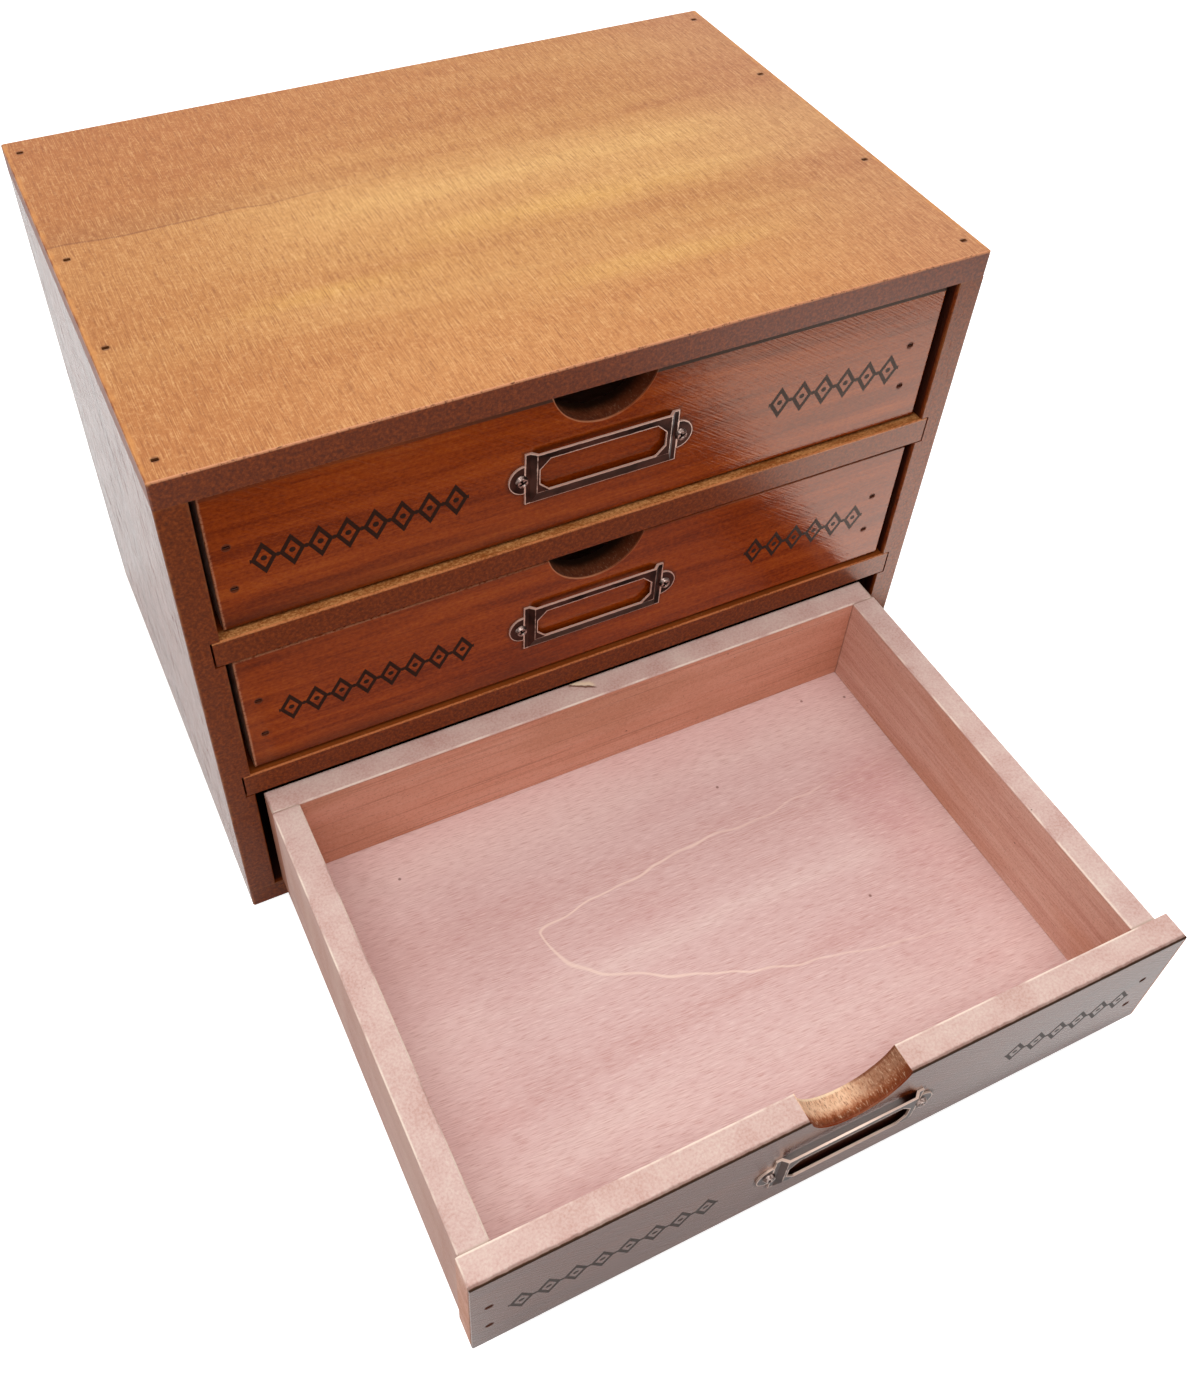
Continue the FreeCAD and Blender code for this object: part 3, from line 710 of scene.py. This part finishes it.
BRONZE, BRONZE_DARK = srgb(70, 46, 39), srgb(24, 14, 12)
BRONZE_BRIGHT, SCREW_BRIGHT = srgb(228, 200, 184), srgb(176, 156, 148)
STEEL_DARK, STEEL_BROWN = srgb(34, 9, 5), srgb(78, 32, 22)
PRESS_CREST, LOWER_BEND = 21.7, -4.8
HALF_WINDOW, HALF_WINDOW_HEIGHT, WINDOW_CHAMFER = 20.5, 5.8, 3.2
WINDOW_CENTRE = (-0.3, 1.1)
SCREW_X = 26.0


def frame_bronze(drawer):
    """Antique bronze, rubbed bright along the pressed edges and the outline, dark in the hollows.

    It is rubbed where the distance from the plate's edge, the window, an ear or a bend of the sheet is small.
    """
    f = Finish(drawer + "_label_frame_bronze", {})
    x, y, z = f.place()
    plate, ears, v = plate_edges(drawer, x, z)
    window_u, window_v = abs(x - WINDOW_CENTRE[0]), abs(v - WINDOW_CENTRE[1])
    cut_corner = (window_u + window_v - (HALF_WINDOW + HALF_WINDOW_HEIGHT - WINDOW_CHAMFER)) / math.sqrt(2)
    window = (window_u - HALF_WINDOW).most(window_v - HALF_WINDOW_HEIGHT).most(cut_corner)
    crests = abs(abs(x) - PRESS_CREST) + v.rise(LOWER_BEND, LOWER_BEND - 0.3)
    bends = crests.least(abs(v - LOWER_BEND) + abs(x).rise(PRESS_CREST, PRESS_CREST + 0.3))
    edge = abs(plate).least(abs(window)).least(abs(ears) + plate.rise(0.2, -0.2) * 9).least(bends + 0.2)
    wear = f.noise(x / 2.5, y / 2.5, z / 2.5, detail=4.0, roughness=0.65)
    tarnish = f.noise(x / 9, y / 9, z / 9 + 4.0, detail=3.0)
    rubbed = (edge + (wear - 0.5) * 0.5).rise(0.38, 0.10)
    colour = f.coats(f.ramp(tarnish, (0.35, BRONZE_DARK), (0.6, BRONZE)), (BRONZE_BRIGHT, rubbed))
    return f.set({
        "Base Color": colour, "Metallic": 1.0 - rubbed * 0.45, "Roughness": 0.24 + wear * 0.22,
        "Normal": f.bump(wear, 0.02)})


def screw_bronze(drawer):
    """Screw heads rubbed bright on the crown and rim, dark in the cross."""
    node = drawer + "_label_screws"
    f = Finish(node + "_bronze", {"Metallic": 1.0})
    low, high = extent(node)
    x, y, z = f.place()
    radius = reach(abs(x), z - (low[Z] + high[Z]) / 2, (SCREW_X, 0.0))
    wear = f.noise(x / 0.8, y / 0.8, z / 0.8, detail=3.0)
    sunk = (y - low[Y]).rise(0.25, 0.5) * radius.rise(1.5, 1.3)
    colour = f.coats(SCREW_BRIGHT, (BRONZE, wear.rise(0.42, 0.6) * 0.8), (BRONZE_DARK, sunk))
    return f.set({"Base Color": colour, "Roughness": 0.22 + wear * 0.15})


def brad_steel():
    """Steel brads, browned and dulled by varnish."""
    f = Finish("brad_steel", {"Metallic": 0.2, "Specular IOR Level": 0.1})
    x, y, z = f.place()
    dull = f.noise(x / 0.9, y / 0.9, z / 0.9, detail=3.0)
    colour = f.ramp(dull, (0.35, STEEL_DARK), (0.65, STEEL_BROWN))
    return f.set({"Base Color": colour, "Roughness": 0.55 + dull * 0.2})


# ---------------------------------------------------------------- the pieces get their finishes

dress("top_board", top_wood())
dress("bottom_board", case_wood("bottom_board", X, 2.0))
dress("left_side", case_wood("left_side", Z, 3.0, matt=0.09, open_grain=0.55))
dress("right_side", case_wood("right_side", Z, 4.0, matt=0.09, open_grain=0.55))
dress("back_panel", case_wood("back_panel", X, 8.0, matt=0.3, gold=0.0))
dress("upper_divider", divider_wood("upper_divider", 5.0, gold=0.7))
dress("lower_divider", divider_wood("lower_divider", 6.0, gold=0.25))
steel = brad_steel()
for node in ("top_board_brads", "bottom_board_brads", "divider_brads"):
    dress(node, steel)
for number, drawer in enumerate(DRAWERS):
    name = drawer + "_drawer_"
    dress(name + "front", front_wood(drawer, 10.0 + number, shut=0.0 if drawer == "bottom" else 1.0))
    dress(name + "left_side", box_wood(name + "left_side", Y, 14.0 + number))
    dress(name + "right_side", box_wood(name + "right_side", Y, 17.0 + number))
    dress(name + "back", box_wood(name + "back", X, 20.0 + number, split=SPLITS[drawer], peach=0.5))
    dress(name + "floor", floor_ply(name + "floor", drawer, 24.0 + number))
    dress(name + "brads", steel)
    dress(drawer + "_label_frame", frame_bronze(drawer))
    dress(drawer + "_label_screws", screw_bronze(drawer))


# ---------------------------------------------------------------- floor, lamps and camera

WHITE = (1.0, 1.0, 1.0, 1.0)
FLOOR_HALF = 6.0
UNSEEN_BY = ("camera", "diffuse", "transmission", "volume_scatter", "shadow")


def stand(name, data):
    """An object of the studio, linked to the scene."""
    thing = bpy.data.objects.new(name, data)
    bpy.context.scene.collection.objects.link(thing)
    return thing


def level_sheet(name, near, far, height, material):
    """A level rectangle of the studio, between two corners in metres."""
    mesh = bpy.data.meshes.new(name)
    rim = [(x, y, height) for x, y in (near, (far[X], near[Y]), far, (near[X], far[Y]))]
    mesh.from_pydata(rim, [], [(0, 1, 2, 3)])
    mesh.materials.append(material)
    sheet = stand(name, mesh)
    return sheet


def pale_floor():
    """A wide plane under the chest, white where it is seen and greyer in the light that it throws back."""
    material = bpy.data.materials.new("pale_floor")
    f = Recipe(material)
    paint = f.node("BsdfDiffuse", {"Color": f.by_ray(camera=0.9, mirror=0.9, rest=0.45)})
    lift = f.node("Emission", {"Strength": f.by_ray(camera=0.7, mirror=0.04, rest=0.0)})
    f.end(f.node("AddShader", {0: paint, 1: lift}))
    level_sheet("floor", (-FLOOR_HALF, -FLOOR_HALF), (FLOOR_HALF, FLOOR_HALF), 0.0, material)


def studio_world():
    """Even light from all round, which is white where it is seen."""
    world = bpy.data.worlds.new("studio")
    bpy.context.scene.world = world
    f = Recipe(world, ending="OutputWorld")
    f.end(f.node("Background", {"Color": WHITE, "Strength": f.by_ray(camera=1.0, mirror=1.0, rest=0.50)}))


def gloss_card(near, far, height, strength, fade):
    """A bright level card near the open drawer, which only glossy surfaces show.

    It is clear below the first x of fade, in millimetres, and full at the second.
    """
    material = bpy.data.materials.new("card_glow")
    f = Recipe(material)
    glow = f.node("Emission", {"Strength": strength})
    f.end(f.node("MixShader", {0: f.place()[X].rise(*fade), 1: f.node("BsdfTransparent", {}), 2: glow}))
    card = level_sheet("card", near, far, height, material)
    for ray in UNSEEN_BY:
        setattr(card, "visible_" + ray, False)


def soft_lamp(name, place, aim, size, watts):
    """A round lamp at a place, turned towards aim."""
    data = bpy.data.lights.new(name, "AREA")
    data.shape = "DISK"
    data.size = size
    data.energy = watts
    facing = (Vector(place) - Vector(aim)).to_track_quat("Z", "Y").to_matrix().to_4x4()
    stand(name, data).matrix_world = Matrix.Translation(place) @ facing


def camera():
    """A camera above the left front corner, looking down into the open drawer."""
    data = bpy.data.cameras.new("camera")
    data.lens, data.sensor_width = 35.85, 36.0
    data.shift_x, data.shift_y = 0.0388, -0.0354
    data.clip_start = 0.01
    view = stand("camera", data)
    pan, roll, tilt = (Matrix.Rotation(math.radians(turn), 4, axis)
                       for turn, axis in ((-25.701, "Z"), (-1.348, "Y"), (41.988, "X")))
    view.matrix_world = Matrix.Translation((-0.1527, -0.3527, 0.4168)) @ pan @ roll @ tilt
    bpy.context.scene.camera = view


pale_floor()
studio_world()
soft_lamp("key", place=(-0.15, -0.14, 1.15), aim=(0, -0.08, 0.1), size=1.4, watts=11.9)
soft_lamp("window", place=(-1.1, 0.35, 0.7), aim=(-0.15, 0.0, 0.05), size=0.8, watts=3.0)
gloss_card((0.13, -0.2535), (0.335, -0.095), height=0.035, strength=3.6, fade=(125, 128))
gloss_card((-0.03, -0.34), (0.24, -0.2565), height=0.001, strength=1.15, fade=(-20, 115))
camera()
bpy.context.scene.view_settings.view_transform = "Standard"
